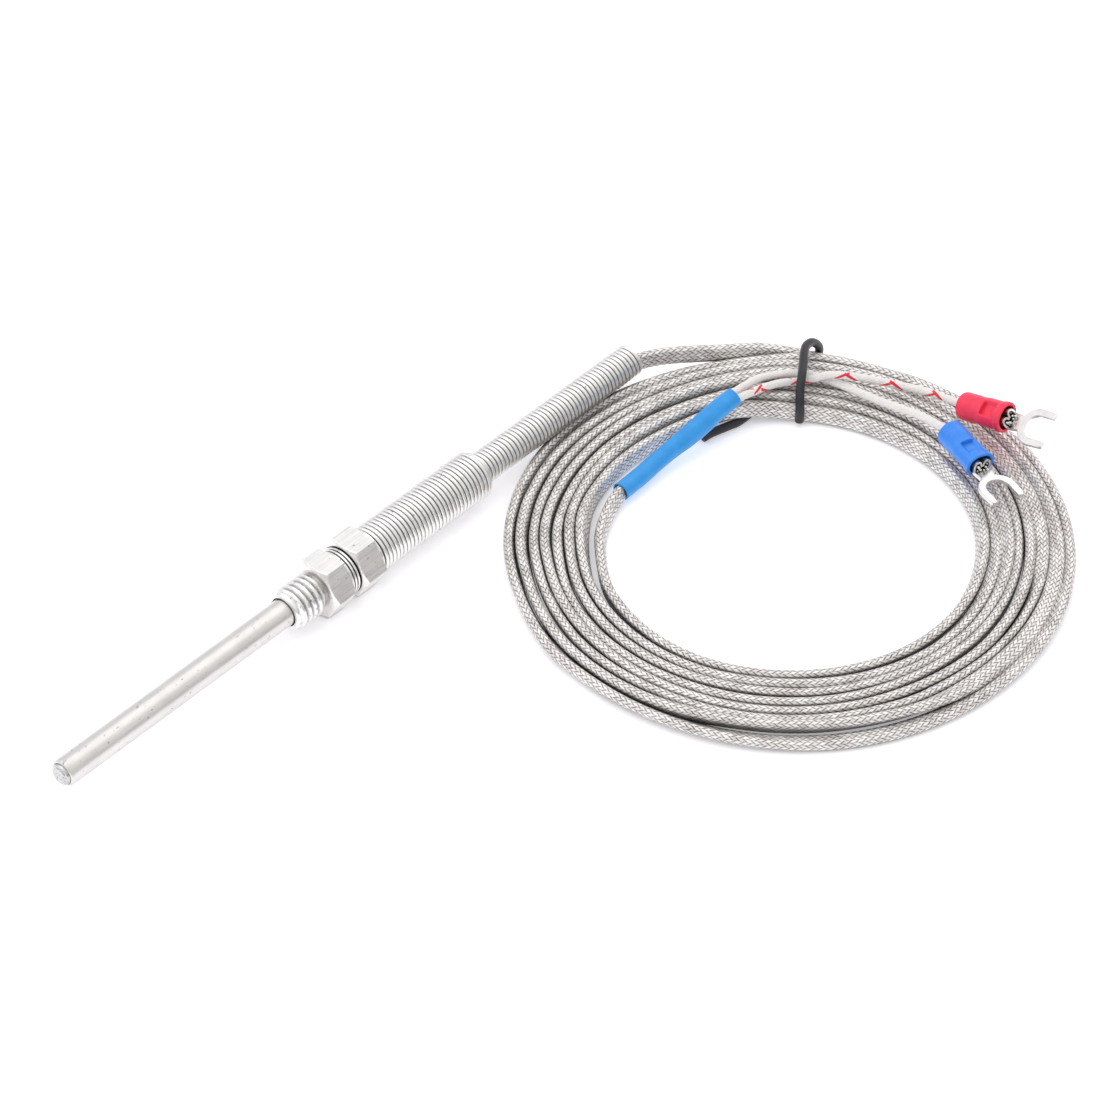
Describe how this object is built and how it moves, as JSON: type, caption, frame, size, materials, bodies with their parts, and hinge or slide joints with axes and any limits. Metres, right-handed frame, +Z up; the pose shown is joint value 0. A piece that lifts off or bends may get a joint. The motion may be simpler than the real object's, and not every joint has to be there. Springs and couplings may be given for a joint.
{
  "type": "thermocouple",
  "caption": "Spring-loaded screw-in probe with a steel sheath, threaded hexagon fitting, stepped spring and coiled braided lead ending in red and blue fork terminals.",
  "frame": {"origin": "on the ground plane under the middle of the probe's length", "axes": "+X along the probe from its tip to its lead, +Z up"},
  "size_m": [0.1735, 0.1038, 0.014],
  "materials": {
    "stainless": "satin drawn stainless tube with fine lengthwise lines",
    "weld": "dull weld bead, slightly domed",
    "element_bead": "oxidised bead",
    "element_positive": "oxidised wire",
    "element_negative": "oxidised wire",
    "splice_positive": "tinned",
    "splice_negative": "tinned",
    "core_positive": "glass yarn with a red tracer",
    "core_negative": "white glass yarn",
    "ceramic_1": "matt unglazed ceramic",
    "ceramic_2": "matt unglazed ceramic",
    "ceramic_3": "matt unglazed ceramic",
    "potting": "cured potting",
    "spring": "bright spring wire, closed wound",
    "braid_lead": "stainless wire braid",
    "braid_coil": "stainless wire braid",
    "braid_tail": "stainless wire braid",
    "shrink": "semi-gloss heat-shrink tube",
    "white_yarn": "white braided glass yarn",
    "tracer_yarn": "white braided glass yarn with a red tracer",
    "tie": "black plastic-covered wire",
    "red_vinyl": "red vinyl",
    "blue_vinyl": "blue vinyl",
    "tin_red": "bright tin plate",
    "tin_blue": "bright tin plate",
    "strand_red": "bare strands",
    "strand_blue": "bare strands",
    "seat": "turned stainless",
    "nut": "turned and milled stainless",
    "ferrule": "smooth turned steel",
    "gland": "turned and milled stainless"
  },
  "bodies": {
    "probe": {"sheath_tube": "stainless", "tip_weld_cap": "weld", "hot_junction_bead": "element_bead", "thermoelement_positive": "element_positive", "thermoelement_negative": "element_negative", "crimp_splice_positive": "splice_positive", "crimp_splice_negative": "splice_negative", "lead_core_positive": "core_positive", "lead_core_negative": "core_negative", "ceramic_insulator_1": "ceramic_1", "ceramic_insulator_2": "ceramic_2", "ceramic_insulator_3": "ceramic_3", "rear_seal": "potting", "stepped_spring": "spring", "cable_lead": "braid_lead", "cable_coil": "braid_coil", "cable_tail": "braid_tail", "heat_shrink_sleeve": "shrink", "wire_white": "white_yarn", "wire_tracer": "tracer_yarn", "twist_tie": "tie", "terminal_sleeve_red": "red_vinyl", "terminal_sleeve_blue": "blue_vinyl", "fork_lug_red": "tin_red", "fork_lug_blue": "tin_blue", "conductor_red": "strand_red", "conductor_blue": "strand_blue"},
    "seat": {"spring_seat": "seat"},
    "nut": {"gland_nut": "nut"},
    "ferrule": {"compression_ferrule": "ferrule"},
    "gland": {"gland_body": "gland"}
  },
  "joints": [
    {"name": "fitting_slide", "type": "slide", "parent": "probe", "child": "seat", "axis": [-1, 0, 0], "range_m": [0, 0.01], "stiffness_N_per_m": 320, "deforming": ["stepped_spring"]},
    {"name": "fitting_turn", "type": "hinge", "parent": "seat", "child": "nut", "pos_m": [0, 0, 0.005], "axis": [1, 0, 0], "continuous": true},
    {"name": "gland_advance", "type": "slide", "parent": "nut", "child": "ferrule", "axis": [-1, 0, 0], "range_m": [0, 0.00225]},
    {"name": "gland_unscrew", "type": "hinge", "parent": "ferrule", "child": "gland", "pos_m": [0, 0, 0.005], "axis": [-1, 0, 0], "range_deg": [0, 810]}
  ],
  "couplings": [
    {"joint": "gland_unscrew", "follows": "gland_advance", "rad_per_m": 6283.2}
  ]
}
